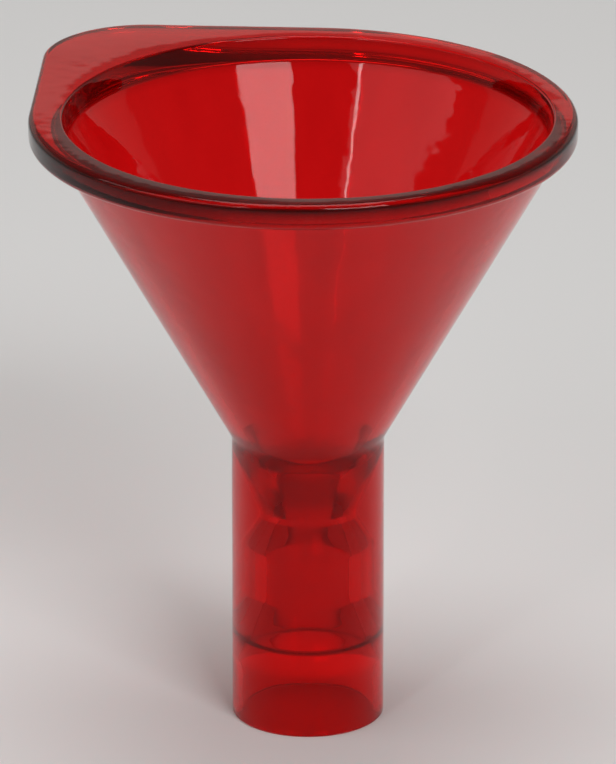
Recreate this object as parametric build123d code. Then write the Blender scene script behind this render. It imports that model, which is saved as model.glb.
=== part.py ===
"""Clear red powder funnel with an anti-roll corner on its rim and a stepped socket in its foot.

Millimetres, +Z up along the axis, origin at the centre of the foot. The funnel is one
moulding, modelled as five sections that meet face to face without overlapping.
"""
from build123d import *
from math import radians, sqrt, tan
import os

# Overall
TOTAL_HEIGHT = 62.4
STEM_RADIUS = 7.5
STEM_HEIGHT = 29.3          # where the outside of the cone would meet the stem without a fillet
CONE_HALF_ANGLE = 29.4      # degrees, between the cone's side and the axis

# Rim
RIM_RADIUS = 26.7
RIM_OFFSET = 0.5            # the rim's circle stands this far towards -X and +Y, so it widens to its corner
RIM_THICKNESS = 2.6
RIM_EDGE_RADIUS = 0.7       # rounding of the rim's outer edges
TAB_CORNER_RADIUS = 10.0    # rounding of the square corner that stops the funnel rolling
TAB_CUT_DISTANCE = 25.2     # from the axis to the flat face where the corner meets the rim
MOUTH_RADIUS = 23.9
MOUTH_LAND_DRAFT = 0.7      # how far the upright wall in the mouth closes in before the cone
MOUTH_EDGE_RADIUS = 0.3

# Cone and throat
CONE_WALL = 1.4             # measured square to the cone's side
JUNCTION_FILLET = 2.0
CONE_SECTION_BOTTOM = 31.4  # where the cone section ends and the stem section starts
THROAT_MOUTH_RADIUS = 4.7   # where the cone's inside steepens towards the throat
THROAT_RADIUS = 3.0
THROAT_TOP = 21.8           # the straight throat's upper end
THROAT_FLARE_TOP = 21.2     # its lower end, where it opens into the socket

# Socket in the foot, from the throat down: small bore, taper, step, second taper, large bore
SOCKET_TOP = 17.8
UPPER_SOCKET_RADIUS = 4.1
UPPER_SOCKET_BOTTOM = 12.8  # where the taper starts
TAPER_RADIUS = 5.4          # at the taper's lower end
TAPER_BOTTOM = 8.6
STEP_RADIUS = 5.8           # below the step, where the second taper starts
STEP_BOTTOM = 8.3
LOWER_SOCKET_RADIUS = 6.5
LOWER_SOCKET_TOP = 6.0      # where the second taper ends
LEAD_IN_HEIGHT = 1.2        # of the slight flare at the foot
LEAD_IN_WIDTH = 0.35
FOOT_EDGE_RADIUS = 0.25

# Worked out from the sizes above
SLOPE = tan(radians(CONE_HALF_ANGLE))
WALL_ALONG_RADIUS = CONE_WALL * sqrt(1 + SLOPE**2)
RIM_UNDERSIDE = TOTAL_HEIGHT - RIM_THICKNESS
LAND_BOTTOM_RADIUS = MOUTH_RADIUS - MOUTH_LAND_DRAFT


def outer_cone_radius(height):
    """Radius of the outside of the cone at a height."""
    return STEM_RADIUS + SLOPE * (height - STEM_HEIGHT)


def inner_cone_height(radius):
    """Height at which the inside of the cone has a radius."""
    return STEM_HEIGHT + (radius + WALL_ALONG_RADIUS - STEM_RADIUS) / SLOPE


def turned(points):
    """Solid of revolution about Z from a closed profile of (radius, height) points."""
    return revolve(make_face(Plane.XZ * Polyline(*points, close=True)), Axis.Z)


def edges_at(solid, radius, height):
    """Circular edges about Z that have this radius and height."""
    found = []
    for edge in solid.edges().filter_by(GeomType.CIRCLE):
        centre = edge.arc_center
        on_axis = abs(centre.X) < 1e-3 and abs(centre.Y) < 1e-3
        if on_axis and abs(edge.radius - radius) < 1e-3 and abs(centre.Z - height) < 1e-3:
            found.append(edge)
    return found


def inside_space():
    """Everything that is open inside the funnel, from above the mouth to below the foot."""
    above = TOTAL_HEIGHT + 1
    return turned([
        (0, above),
        (MOUTH_RADIUS, above),
        (MOUTH_RADIUS, TOTAL_HEIGHT),
        (LAND_BOTTOM_RADIUS, inner_cone_height(LAND_BOTTOM_RADIUS)),
        (THROAT_MOUTH_RADIUS, inner_cone_height(THROAT_MOUTH_RADIUS)),
        (THROAT_RADIUS, THROAT_TOP),
        (THROAT_RADIUS, THROAT_FLARE_TOP),
        (UPPER_SOCKET_RADIUS, SOCKET_TOP),
        (UPPER_SOCKET_RADIUS, UPPER_SOCKET_BOTTOM),
        (TAPER_RADIUS, TAPER_BOTTOM),
        (STEP_RADIUS, STEP_BOTTOM),
        (LOWER_SOCKET_RADIUS, LOWER_SOCKET_TOP),
        (LOWER_SOCKET_RADIUS, LEAD_IN_HEIGHT),
        (LOWER_SOCKET_RADIUS + LEAD_IN_WIDTH, 0),
        (LOWER_SOCKET_RADIUS + LEAD_IN_WIDTH, -1),
        (0, -1),
    ])


def rim_outline():
    """Plan of the rim: a circle with one square corner, whose sides are tangent to it."""
    corner = Pos(-RIM_RADIUS / 2, RIM_RADIUS / 2) * Rectangle(RIM_RADIUS, RIM_RADIUS)
    sharp = corner.vertices().sort_by_distance((-RIM_RADIUS, RIM_RADIUS, 0))[0]
    outline = Circle(RIM_RADIUS) + fillet(sharp, TAB_CORNER_RADIUS)
    return Pos(-RIM_OFFSET, RIM_OFFSET) * outline


def whole_rim():
    """The rim with its corner, its rounded outer edges and the mouth through it."""
    plate = extrude(Pos(0, 0, RIM_UNDERSIDE) * rim_outline(), RIM_THICKNESS)
    faces = plate.faces().sort_by(Axis.Z)
    plate = fillet(faces[0].edges() + faces[-1].edges(), RIM_EDGE_RADIUS)
    rim = plate - inside_space()
    return fillet(edges_at(rim, MOUTH_RADIUS, TOTAL_HEIGHT), MOUTH_EDGE_RADIUS)


def tab_plane():
    """The flat face where the corner meets the rim, looking out towards the corner."""
    outward = Vector(-1, 1, 0).normalized()
    return Plane(origin=outward * TAB_CUT_DISTANCE, z_dir=outward)


def rim_flange():
    return split(whole_rim(), bisect_by=tab_plane(), keep=Keep.BOTTOM)


def anti_roll_tab():
    return split(whole_rim(), bisect_by=tab_plane(), keep=Keep.TOP)


def hopper_cone():
    body = turned([
        (0, CONE_SECTION_BOTTOM),
        (outer_cone_radius(CONE_SECTION_BOTTOM), CONE_SECTION_BOTTOM),
        (outer_cone_radius(RIM_UNDERSIDE), RIM_UNDERSIDE),
        (0, RIM_UNDERSIDE),
    ])
    return body - inside_space()


def stem_throat():
    """Top of the stem: the cone narrows to the throat in a thick wall, which then flares."""
    body = turned([
        (0, SOCKET_TOP),
        (STEM_RADIUS, SOCKET_TOP),
        (STEM_RADIUS, STEM_HEIGHT),
        (outer_cone_radius(CONE_SECTION_BOTTOM), CONE_SECTION_BOTTOM),
        (0, CONE_SECTION_BOTTOM),
    ])
    body = fillet(edges_at(body, STEM_RADIUS, STEM_HEIGHT), JUNCTION_FILLET)
    return body - inside_space()


def neck_sleeve():
    """Lower stem: a sleeve with a socket that widens in steps to fit over necks of several sizes."""
    body = Cylinder(STEM_RADIUS, SOCKET_TOP, align=(Align.CENTER, Align.CENTER, Align.MIN))
    body = fillet(edges_at(body, STEM_RADIUS, 0), FOOT_EDGE_RADIUS)
    return body - inside_space()


SECTIONS = {
    "rim_flange": rim_flange,
    "anti_roll_tab": anti_roll_tab,
    "hopper_cone": hopper_cone,
    "stem_throat": stem_throat,
    "neck_sleeve": neck_sleeve,
}

os.makedirs("parts", exist_ok=True)
for name, make in SECTIONS.items():
    export_step(make(), f"parts/{name}.step")
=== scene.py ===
"""Clear red plastic powder funnel on a pale studio floor.

The CAD model gives the sections of the moulding. The real funnel is one piece of clear plastic, and
light would show a false seam wherever two sections touched, so one continuous mesh stands for them all.
"""

from math import acos, cos, pi, radians, sin, sqrt, tan

import bpy
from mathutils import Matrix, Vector, noise


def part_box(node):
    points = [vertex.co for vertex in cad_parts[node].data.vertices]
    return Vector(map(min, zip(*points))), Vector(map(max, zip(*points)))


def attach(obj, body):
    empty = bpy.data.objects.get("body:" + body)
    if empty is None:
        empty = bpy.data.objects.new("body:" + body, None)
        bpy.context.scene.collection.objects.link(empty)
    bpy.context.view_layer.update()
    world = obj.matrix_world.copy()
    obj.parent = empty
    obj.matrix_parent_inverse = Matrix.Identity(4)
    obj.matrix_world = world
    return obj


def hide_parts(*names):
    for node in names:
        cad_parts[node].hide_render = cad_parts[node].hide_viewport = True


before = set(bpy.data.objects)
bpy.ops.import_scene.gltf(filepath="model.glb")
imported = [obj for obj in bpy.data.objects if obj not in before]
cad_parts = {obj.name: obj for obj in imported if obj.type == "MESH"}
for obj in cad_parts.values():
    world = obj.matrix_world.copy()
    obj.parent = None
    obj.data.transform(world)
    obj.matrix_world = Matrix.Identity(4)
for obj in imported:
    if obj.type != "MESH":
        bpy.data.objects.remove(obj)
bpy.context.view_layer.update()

MM = 0.001
# Mesh attribute of painted shade (above 0, darkening the base colour) and painted light (below 0, paling
# the foot)
PAINTED_SHADE_ATTRIBUTE = "painted_shade_map"

# ---- Sizes in millimetres, as in the CAD model ----

TOTAL_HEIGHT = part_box("rim_flange")[1].z / MM
RIM_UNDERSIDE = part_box("rim_flange")[0].z / MM
STEM_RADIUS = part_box("neck_sleeve")[1].x / MM
SOCKET_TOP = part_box("neck_sleeve")[1].z / MM

RIM_RADIUS = 26.7
RIM_OFFSET = 0.5            # of the rim's circle, towards -X and +Y
RIM_EDGE_RADIUS = 0.7
UNDER_RIM_FILLET = 0.8
TAB_CORNER_RADIUS = 10.0
MOUTH_RADIUS = 23.9
MOUTH_LAND_DRAFT = 0.7
MOUTH_EDGE_RADIUS = 0.3
LAND_FILLET = 0.5

STEM_HEIGHT = 29.3
SLOPE = tan(radians(29.4))
WALL_ALONG_RADIUS = 1.4 * sqrt(1 + SLOPE**2)
JUNCTION_FILLET = 2.0

THROAT_MOUTH_RADIUS = 4.7
THROAT_RADIUS = 3.0
THROAT_TOP = 21.8
THROAT_FLARE_TOP = 21.2
UPPER_SOCKET_RADIUS = 4.1
UPPER_SOCKET_BOTTOM = 12.8
TAPER_RADIUS = 5.4
TAPER_BOTTOM = 8.6
STEP_RADIUS = 5.8
STEP_BOTTOM = 8.3
LOWER_SOCKET_RADIUS = 6.5
LOWER_SOCKET_TOP = 6.0
LEAD_IN_HEIGHT = 1.2
LEAD_IN_WIDTH = 0.35
FOOT_EDGE_RADIUS = 0.25

# ---- The mesh ----

SEGMENTS = 360              # round the axis
LONGEST_SPAN = 0.8          # between rings, so that the moulding's waviness is in the mesh
ARC_STEP = radians(12)      # between points of a rounded corner
TOLERANCE = 0.01
STRETCH_START = 0.2         # distance from the cone at which the rim starts to follow its outline

WAVE_HEIGHT = 0.02          # of the moulding's waviness
WAVE_SPAN = 6               # sideways
WAVE_LENGTH = 9.5           # up and down
SMALL_WAVE_SHARE = 0.3
INSIDE_SEED = 7.0           # makes the inside's waves differ from the outside's

# Painted shade and light, set per point and mixed into the base colour
LAND_PAINTED_SHADE = 0.3            # of painted shade, on the upright land in the mouth, where the rim's edge has 1
# of painted shade, in the throat
THROAT_PAINTED_SHADE = 0.65
SHADED_SIDE_REACH = 16.0       # distance left of the axis at which the rim's whole edge has full painted shade, on the side where the shade falls


def outer_cone_radius(height):
    """Radius of the outside of the cone at a height."""
    return STEM_RADIUS + SLOPE * (height - STEM_HEIGHT)


def inner_cone_height(radius):
    """Height at which the inside of the cone has a radius."""
    return STEM_HEIGHT + (radius + WALL_ALONG_RADIUS - STEM_RADIUS) / SLOPE


def rim_outline(angle):
    """Distance from the axis to the rim's outline.

    The outline is a circle with one square corner, whose sides are tangent to it. The circle's centre
    stands off the axis, so the rim is widest at its corner.
    """
    across, along = -cos(angle), sin(angle)
    side = RIM_RADIUS + RIM_OFFSET
    corner_centre = side - TAB_CORNER_RADIUS
    if across > 0 and along > 0:
        if side * across < corner_centre * along and side * across > RIM_OFFSET * along:
            return side / along
        if side * along < corner_centre * across and side * along > RIM_OFFSET * across:
            return side / across
        if side * across >= corner_centre * along and side * along >= corner_centre * across:
            return ray_to_circle(across, along, corner_centre, TAB_CORNER_RADIUS)
    return ray_to_circle(across, along, RIM_OFFSET, RIM_RADIUS)


def ray_to_circle(across, along, centre, radius):
    """Distance along a ray from the axis to a circle whose centre is equally far across and along."""
    reach = centre * (across + along)
    return reach + sqrt(reach**2 - 2 * centre**2 + radius**2)


# ---- The section of the moulding ----

def section_corners():
    """Corners of the wall's section, anticlockwise from the foot: (radius, height, rounding)."""
    land_bottom_radius = MOUTH_RADIUS - MOUTH_LAND_DRAFT
    return [
        (STEM_RADIUS, 0.0, FOOT_EDGE_RADIUS),
        (STEM_RADIUS, STEM_HEIGHT, JUNCTION_FILLET),
        (outer_cone_radius(RIM_UNDERSIDE), RIM_UNDERSIDE, UNDER_RIM_FILLET),
        (RIM_RADIUS, RIM_UNDERSIDE, RIM_EDGE_RADIUS),
        (RIM_RADIUS, TOTAL_HEIGHT, RIM_EDGE_RADIUS),
        (MOUTH_RADIUS, TOTAL_HEIGHT, MOUTH_EDGE_RADIUS),
        (land_bottom_radius, inner_cone_height(land_bottom_radius), LAND_FILLET),
        (THROAT_MOUTH_RADIUS, inner_cone_height(THROAT_MOUTH_RADIUS), 3.0),
        (THROAT_RADIUS, THROAT_TOP, 1.0),
        (THROAT_RADIUS, THROAT_FLARE_TOP, 0.4),
        (UPPER_SOCKET_RADIUS, SOCKET_TOP, 1.5),
        (UPPER_SOCKET_RADIUS, UPPER_SOCKET_BOTTOM, 1.5),
        (TAPER_RADIUS, TAPER_BOTTOM, 0.4),
        (STEP_RADIUS, STEP_BOTTOM, 0.4),
        (LOWER_SOCKET_RADIUS, LOWER_SOCKET_TOP, 1.5),
        (LOWER_SOCKET_RADIUS, LEAD_IN_HEIGHT, 0.5),
        (LOWER_SOCKET_RADIUS + LEAD_IN_WIDTH, 0.0, 0.15),
    ]


def rounded(corners):
    """The closed section with each corner as an arc, and no span longer than LONGEST_SPAN."""
    outline = []
    count = len(corners)
    for i, (radius, height, rounding) in enumerate(corners):
        corner = Vector((radius, height))
        before = (Vector(corners[i - 1][:2]) - corner).normalized()
        after = (Vector(corners[(i + 1) % count][:2]) - corner).normalized()
        half = acos(max(-1.0, min(1.0, before.dot(after)))) / 2
        centre = corner + (before + after).normalized() * rounding / sin(half)
        start = corner + before * rounding / tan(half) - centre
        end = corner + after * rounding / tan(half) - centre
        turn = start.angle_signed(end)
        steps = max(3, round(abs(turn) / ARC_STEP))
        for k in range(steps + 1):
            outline.append(centre + turned(start, turn * k / steps))
    spaced = []
    for i, point in enumerate(outline):
        following = outline[(i + 1) % len(outline)]
        parts = max(1, round((following - point).length / LONGEST_SPAN))
        spaced += [point.lerp(following, k / parts) for k in range(parts)]
    return spaced


def turned(vector, angle):
    """A 2-D vector turned clockwise, as Vector.angle_signed measures it."""
    return Vector((
        vector.x * cos(angle) + vector.y * sin(angle),
        -vector.x * sin(angle) + vector.y * cos(angle),
    ))


def rim_share(radius, height):
    """How far a point of the section follows the rim's outline: 0 at the cone, 1 at the outer edge."""
    start = outer_cone_radius(RIM_UNDERSIDE) + STRETCH_START
    full = RIM_RADIUS - RIM_EDGE_RADIUS
    if height < RIM_UNDERSIDE - TOLERANCE or radius < start:
        return 0.0
    return min(1.0, (radius - start) / (full - start))


def waviness(place, seed):
    """Height of the moulding's waviness at a place, in millimetres."""
    stretched = Vector((place.x / WAVE_SPAN, place.y / WAVE_SPAN, place.z / WAVE_LENGTH + seed))
    return WAVE_HEIGHT * (noise.noise(stretched) + SMALL_WAVE_SHARE * noise.noise(stretched * 2.0))


def ramp_between(value, low, high):
    """0 below low, 1 above high, and a smooth rise between them."""
    share = max(0.0, min(1.0, (value - low) / (high - low)))
    return share * share * (3 - 2 * share)


def painted_shade_at(radius, height, left):
    """Painted shade and light at a point: 1, full painted shade, on the rim's edge, 0 on the walls and -1,
    painted light, on the foot, whose wall is also thinner.

    The rim's edge is painted dark all the way down on the left, towards the tab, where the shade falls,
    and only near its top elsewhere.
    """
    # The rim's outer edge: painted shade, down its whole height on the left, where the shade falls
    if height > RIM_UNDERSIDE - 1.0 and radius > MOUTH_RADIUS + 1.5:
        below_top = ramp_between(TOTAL_HEIGHT - height, 0.05, 0.5)
        upper = ramp_between(height, RIM_UNDERSIDE + 1.0, RIM_UNDERSIDE + 2.0)
        lower = ramp_between(height, RIM_UNDERSIDE + 0.1, RIM_UNDERSIDE + 0.8)
        return below_top * max(upper, lower * ramp_between(left, 0.0, SHADED_SIDE_REACH))
    # The upright land in the mouth: painted shade
    if height > RIM_UNDERSIDE - 1.5 and radius < MOUTH_RADIUS - 0.02:
        return LAND_PAINTED_SHADE * ramp_between(height, RIM_UNDERSIDE - 0.5, RIM_UNDERSIDE + 0.3)
    # The throat's inside: painted shade, standing for the darker look of the thick plastic there
    if radius < THROAT_MOUTH_RADIUS + 1.0 and height > THROAT_FLARE_TOP:
        rise = ramp_between(height, THROAT_TOP, THROAT_TOP + 2.5)
        return THROAT_PAINTED_SHADE * rise * (1 - ramp_between(height, STEM_HEIGHT - 3.2, STEM_HEIGHT - 1.0))
    # The foot below the step: painted light, paling the base colour where the wall is also thinner
    return ramp_between(height, STEP_BOTTOM - 1.5, STEP_BOTTOM + 1.5) - 1


def funnel_mesh():
    """The section, swept round the axis with the rim stretched to its outline, then made slightly wavy."""
    section = rounded(section_corners())
    rings = len(section)
    vertices, painted_shades = [], []
    for step in range(SEGMENTS):
        angle = 2 * pi * step / SEGMENTS
        extra = rim_outline(angle) - RIM_RADIUS
        for point in section:
            radius = point.x + rim_share(point.x, point.y) * extra
            vertices.append(Vector((radius * cos(angle), radius * sin(angle), point.y)))
            # Painted shade and light for this point
            painted_shades.append(painted_shade_at(point.x, point.y, -radius * cos(angle)))
    faces = []
    for step in range(SEGMENTS):
        this, following = step * rings, (step + 1) % SEGMENTS * rings
        for i in range(rings):
            j = (i + 1) % rings
            faces.append((this + i, following + i, following + j, this + j))
    mesh = bpy.data.meshes.new("funnel_moulding")
    mesh.from_pydata([v * MM for v in vertices], [], faces)
    mesh.update()
    normals = [v.normal.copy() for v in mesh.vertices]
    for vertex, place, normal in zip(mesh.vertices, vertices, normals):
        inside = place.x * normal.x + place.y * normal.y < 0
        vertex.co += normal * waviness(place, INSIDE_SEED if inside else 0.0) * MM
    # Stores the painted shade and light per point for the material
    mesh.attributes.new(PAINTED_SHADE_ATTRIBUTE, "FLOAT", "POINT").data.foreach_set("value", painted_shades)
    mesh.polygons.foreach_set("use_smooth", [True] * len(mesh.polygons))
    mesh.update()
    return mesh


# ---- Material ----

CLEAR_RED = (0.83, 0.008, 0.010, 1)
STREAK_RED = (0.76, 0.006, 0.008, 1)
# Next two: the near-black red of the painted shade, then the paler red of the painted light on the foot,
# whose wall is also thinner
PAINTED_SHADE_RED = (0.012, 0.0004, 0.0004, 1)
THIN_WALL_PAINTED_LIGHT_RED = (0.93, 0.012, 0.014, 1)
GLOSS_TINT = (0.25, 0.25, 0.25, 1)
ABSORBING_RED = (0.95, 0.0, 0.0, 1)
ABSORPTION_DENSITY = 400    # per metre

# Noise scales, per metre
STREAK_SCALE = 320.0
CLOUD_SCALE = 90.0
SCUFF_SCALE = 1200.0
RIPPLE_SCALE = 420.0
STREAK_STRETCH = 0.15       # makes streaks and scuffs longer up and down
RIPPLE_HEIGHT = 0.00002     # metres


def clear_red_plastic():
    """Clear plastic, dyed red. The mesh's attribute darkens the base colour with painted shade, and pales
    it on the foot with painted light, from place to place.
    """
    material = bpy.data.materials.new("clear_red_plastic")
    material.use_nodes = True
    nodes, links = material.node_tree.nodes, material.node_tree.links
    shader = nodes["Principled BSDF"]
    shader.inputs["Transmission Weight"].default_value = 0.95
    shader.inputs["IOR"].default_value = 1.52
    shader.inputs["Specular Tint"].default_value = GLOSS_TINT

    def new(kind, **settings):
        """A node with its inputs set."""
        node = nodes.new(kind)
        for name, value in settings.items():
            node.inputs[name].default_value = value
        return node

    def mapped(value, low, high, from_low=0.0, from_high=1.0):
        """The value's span from_low to from_high, stretched to low to high."""
        node = new("ShaderNodeMapRange")
        node.inputs["From Min"].default_value = from_low
        node.inputs["From Max"].default_value = from_high
        node.inputs["To Min"].default_value = low
        node.inputs["To Max"].default_value = high
        links.new(value, node.inputs["Value"])
        return node.outputs["Result"]

    def mixed(factor, first, second):
        """The first colour where the factor is 0 or less, and the second where it is 1."""
        node = nodes.new("ShaderNodeMix")
        node.data_type = "RGBA"
        links.new(factor, node.inputs["Factor"])
        for value, socket in ((first, node.inputs["A"]), (second, node.inputs["B"])):
            if isinstance(value, tuple):
                socket.default_value = value
            else:
                links.new(value, socket)
        return node.outputs["Result"]

    place = nodes.new("ShaderNodeTexCoord").outputs["Object"]
    stretch = new("ShaderNodeMapping", Scale=(1.0, 1.0, STREAK_STRETCH))
    links.new(place, stretch.inputs["Vector"])

    # Flow streaks of the moulding run up and down the walls and change the dye a little
    streaks = new("ShaderNodeTexNoise", Scale=STREAK_SCALE, Detail=3.0)
    links.new(stretch.outputs["Vector"], streaks.inputs["Vector"])
    dye = mixed(mapped(streaks.outputs["Fac"], 0.0, 1.0, 0.3, 0.7), CLEAR_RED, STREAK_RED)
    # Painted shade and light from the mesh's attribute: near-black red where the shade falls, paler red on
    # the foot
    painted_shade_node = nodes.new("ShaderNodeAttribute")
    painted_shade_node.attribute_name = PAINTED_SHADE_ATTRIBUTE
    # Share of painted light on the foot
    thin_wall_painted_light = mapped(painted_shade_node.outputs["Fac"], 1.0, 0.0, -1.0, 0.0)
    walls = mixed(thin_wall_painted_light, dye, THIN_WALL_PAINTED_LIGHT_RED)
    links.new(mixed(painted_shade_node.outputs["Fac"], walls, PAINTED_SHADE_RED), shader.inputs["Base Color"])

    # Polished, with faint cloudy patches and fine scuffs
    clouds = new("ShaderNodeTexNoise", Scale=CLOUD_SCALE, Detail=4.0)
    links.new(place, clouds.inputs["Vector"])
    scuffs = new("ShaderNodeTexNoise", Scale=SCUFF_SCALE, Detail=2.0)
    links.new(stretch.outputs["Vector"], scuffs.inputs["Vector"])
    haze = nodes.new("ShaderNodeMath")
    haze.operation = "ADD"
    links.new(mapped(clouds.outputs["Fac"], 0.015, 0.05, 0.35, 0.7), haze.inputs[0])
    links.new(mapped(scuffs.outputs["Fac"], 0.0, 0.04, 0.6, 0.75), haze.inputs[1])
    links.new(haze.outputs["Value"], shader.inputs["Roughness"])

    # The mould's hand-polished ripple, which makes the reflections' edges wander
    ripple = new("ShaderNodeTexNoise", Scale=RIPPLE_SCALE, Detail=1.5)
    links.new(place, ripple.inputs["Vector"])
    bump = new("ShaderNodeBump", Strength=1.0, Distance=RIPPLE_HEIGHT)
    links.new(ripple.outputs["Fac"], bump.inputs["Height"])
    links.new(bump.outputs["Normal"], shader.inputs["Normal"])

    absorption = nodes.new("ShaderNodeVolumeAbsorption")
    absorption.inputs["Color"].default_value = ABSORBING_RED
    absorption.inputs["Density"].default_value = ABSORPTION_DENSITY
    links.new(absorption.outputs["Volume"], nodes["Material Output"].inputs["Volume"])
    return material


# ---- Stage ----

FLOOR_HALF_WIDTH = 6.0      # metres
FLOOR_WHITE = (0.8, 0.8, 0.8, 1)

WORLD_LOW = (0.40, 0.38, 0.35, 1)
WORLD_HIGH = (0.15, 0.14, 0.13, 1)
WORLD_EDGE = sin(radians(19.8))     # height on the unit sphere where low turns into high
WORLD_EDGE_SOFTNESS = 0.008

LIGHT_DISTANCE = 0.8        # metres
LIGHT_AIM_SHARE = 0.7       # of the funnel's height
# Name, azimuth and elevation in degrees, width and height in metres, radiance
LIGHTS = [
    ("top_softbox", 180, 82, 0.5, 0.5, 3.3),
    ("front_right_softbox", 24.3, 38, 0.322, 0.2, 12.0),
    ("front_left_strip", -29, 38, 0.018, 0.3, 20.0),
    ("left_softbox", -62, 38, 1.0, 0.22, 1.8),
]


def pale_floor():
    mesh = bpy.data.meshes.new("floor")
    half = FLOOR_HALF_WIDTH
    corners = [(-half, -half, 0), (half, -half, 0), (half, half, 0), (-half, half, 0)]
    mesh.from_pydata(corners, [], [(0, 1, 2, 3)])
    floor = bpy.data.objects.new("floor", mesh)
    bpy.context.scene.collection.objects.link(floor)
    material = bpy.data.materials.new("floor")
    material.use_nodes = True
    shader = material.node_tree.nodes["Principled BSDF"]
    shader.inputs["Base Color"].default_value = FLOOR_WHITE
    shader.inputs["Roughness"].default_value = 1.0
    mesh.materials.append(material)


def softbox(name, azimuth, elevation, width, height, radiance):
    """A rectangular light aimed at the funnel. Azimuth is from the camera's side, + to the right."""
    light = bpy.data.lights.new(name, "AREA")
    light.shape = "RECTANGLE"
    light.size, light.size_y = width, height
    light.energy = radiance * pi * width * height
    lamp = bpy.data.objects.new(name, light)
    bpy.context.scene.collection.objects.link(lamp)
    aim = Vector((0, 0, TOTAL_HEIGHT * MM * LIGHT_AIM_SHARE))
    turn = radians(azimuth + CAMERA_AZIMUTH - 90)
    lift = radians(elevation)
    away = Vector((cos(lift) * cos(turn), cos(lift) * sin(turn), sin(lift)))
    lamp.location = aim + away * LIGHT_DISTANCE
    lamp.rotation_euler = (-away).to_track_quat("-Z", "Y").to_euler()


def studio_world():
    """Brighter near the horizon than overhead, so that the rim's top stands out from its back."""
    world = bpy.data.worlds.new("studio")
    world.use_nodes = True
    nodes, links = world.node_tree.nodes, world.node_tree.links
    coordinates = nodes.new("ShaderNodeTexCoord")
    axes = nodes.new("ShaderNodeSeparateXYZ")
    ramp = nodes.new("ShaderNodeValToRGB")
    low, high = ramp.color_ramp.elements
    low.position, low.color = WORLD_EDGE - WORLD_EDGE_SOFTNESS, WORLD_LOW
    high.position, high.color = WORLD_EDGE + WORLD_EDGE_SOFTNESS, WORLD_HIGH
    links.new(coordinates.outputs["Generated"], axes.inputs["Vector"])
    links.new(axes.outputs["Z"], ramp.inputs["Fac"])
    links.new(ramp.outputs["Color"], nodes["Background"].inputs["Color"])
    bpy.context.scene.world = world


CAMERA_AZIMUTH = 3.0
CAMERA_ELEVATION = 20.85
CAMERA_DISTANCE = 0.886
CAMERA_AIM = Vector((0.0, 0.0, 0.0347))
CAMERA_LENS = 425.6
CAMERA_SENSOR = 36
CAMERA_CLIP_END = 50
LIGHT_BOUNCES = 24          # enough to pass through every wall of the funnel
GLOSS_BOUNCES = 12


def camera():
    data = bpy.data.cameras.new("camera")
    data.lens = CAMERA_LENS
    data.sensor_width = CAMERA_SENSOR
    viewer = bpy.data.objects.new("camera", data)
    bpy.context.scene.collection.objects.link(viewer)
    turn, lift = radians(CAMERA_AZIMUTH - 90), radians(CAMERA_ELEVATION)
    away = Vector((cos(lift) * cos(turn), cos(lift) * sin(turn), sin(lift)))
    viewer.location = CAMERA_AIM + away * CAMERA_DISTANCE
    viewer.rotation_euler = (-away).to_track_quat("-Z", "Y").to_euler()
    data.clip_end = CAMERA_CLIP_END
    bpy.context.scene.camera = viewer


def main():
    camera()
    studio_world()
    pale_floor()
    for light in LIGHTS:
        softbox(*light)
    funnel = bpy.data.objects.new("funnel_moulding", funnel_mesh())
    bpy.context.scene.collection.objects.link(funnel)
    funnel.data.materials.append(clear_red_plastic())
    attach(funnel, "root")
    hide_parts("rim_flange", "anti_roll_tab", "hopper_cone", "stem_throat", "neck_sleeve")
    scene = bpy.context.scene
    scene.view_settings.view_transform = "Standard"
    scene.cycles.max_bounces = LIGHT_BOUNCES
    scene.cycles.transmission_bounces = LIGHT_BOUNCES
    scene.cycles.glossy_bounces = GLOSS_BOUNCES


main()
